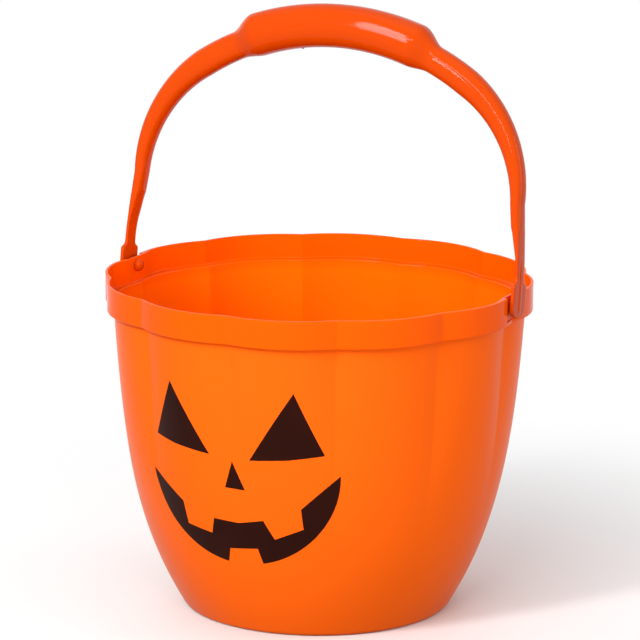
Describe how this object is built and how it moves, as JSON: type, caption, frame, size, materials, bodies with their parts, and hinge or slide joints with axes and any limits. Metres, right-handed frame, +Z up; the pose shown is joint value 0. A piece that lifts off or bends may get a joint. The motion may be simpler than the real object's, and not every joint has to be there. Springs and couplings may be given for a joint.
{
  "type": "pumpkin candy pail",
  "caption": "Round lobed plastic pail with a printed jack-o'-lantern face and a swinging bail with a thick moulded grip, for carrying sweets.",
  "frame": {"origin": "centre of the overall box at the level of the surface that the foot ring stands on, on the pail's own axis", "axes": "+Z up along the pail's axis, X along the bail's pivot axis, -Y out through the printed face"},
  "size_m": [0.2258, 0.2198, 0.3127],
  "materials": {
    "shell_plastic": "satin-gloss moulded polypropylene, bright orange",
    "bail_plastic": "glossy moulded polypropylene, slightly redder orange",
    "print_ink": "dark brown-black pad-printed ink, satin"
  },
  "bodies": {
    "pail": {"pail": "shell_plastic", "eye_print_left": "print_ink", "eye_print_right": "print_ink", "nose_print": "print_ink", "mouth_print": "print_ink"},
    "bail": {"bail": "bail_plastic"}
  },
  "joints": [
    {"name": "bail_swing", "type": "hinge", "parent": "pail", "child": "bail", "pos_m": [0, 0, 0.1693], "axis": [1, 0, 0], "range_deg": [-112, 128]}
  ]
}
